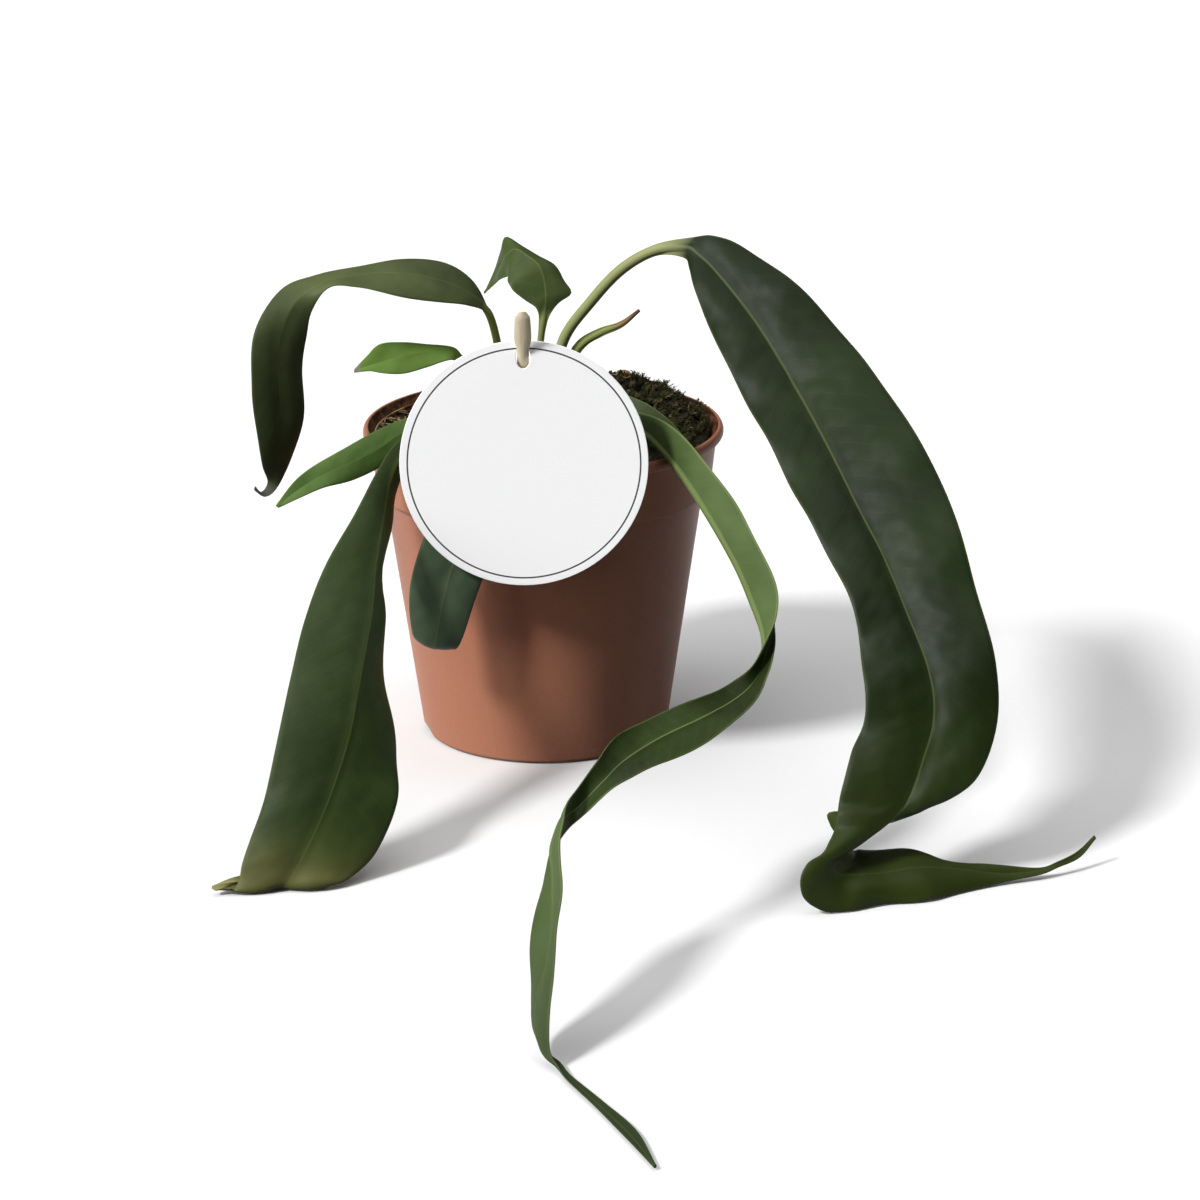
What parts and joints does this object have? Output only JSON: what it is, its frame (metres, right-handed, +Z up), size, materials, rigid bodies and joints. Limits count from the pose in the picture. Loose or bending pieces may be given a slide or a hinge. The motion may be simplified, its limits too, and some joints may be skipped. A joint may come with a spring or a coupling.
{
  "type": "potted strap-leaved aroid",
  "caption": "Potted trailing aroid: strap-shaped leaves on slender stalks arch from a short crown and hang over a tapered nursery pot, with a round card on a bamboo stake.",
  "frame": {"origin": "centre of the pot's base, on the surface that it stands on", "axes": "+Z up along the pot's axis, -Y towards the card, +X towards the widest leaf"},
  "size_m": [0.2705, 0.3952, 0.172],
  "materials": {
    "pot": "satin",
    "soil": "matte",
    "crown": "matte",
    "leaf_big_right": "satin",
    "leaf_ribbon": "satin",
    "leaf_hanging_left": "satin",
    "leaf_arch_left": "satin",
    "leaf_small_left": "satin",
    "leaf_upper_left": "satin",
    "leaf_small_back": "satin",
    "leaf_front": "satin",
    "sheath": "matte",
    "card": "matte",
    "stake": "matte",
    "moss": "matte"
  },
  "bodies": {
    "root": {"pot": "pot", "soil": "soil", "crown": "crown", "leaf_big_right": "leaf_big_right", "leaf_ribbon": "leaf_ribbon", "leaf_hanging_left": "leaf_hanging_left", "leaf_arch_left": "leaf_arch_left", "leaf_small_left": "leaf_small_left", "leaf_upper_left": "leaf_upper_left", "leaf_small_back": "leaf_small_back", "leaf_front": "leaf_front", "sheath": "sheath", "card": "card", "stake": "stake", "moss": "moss"}
  },
  "joints": []
}
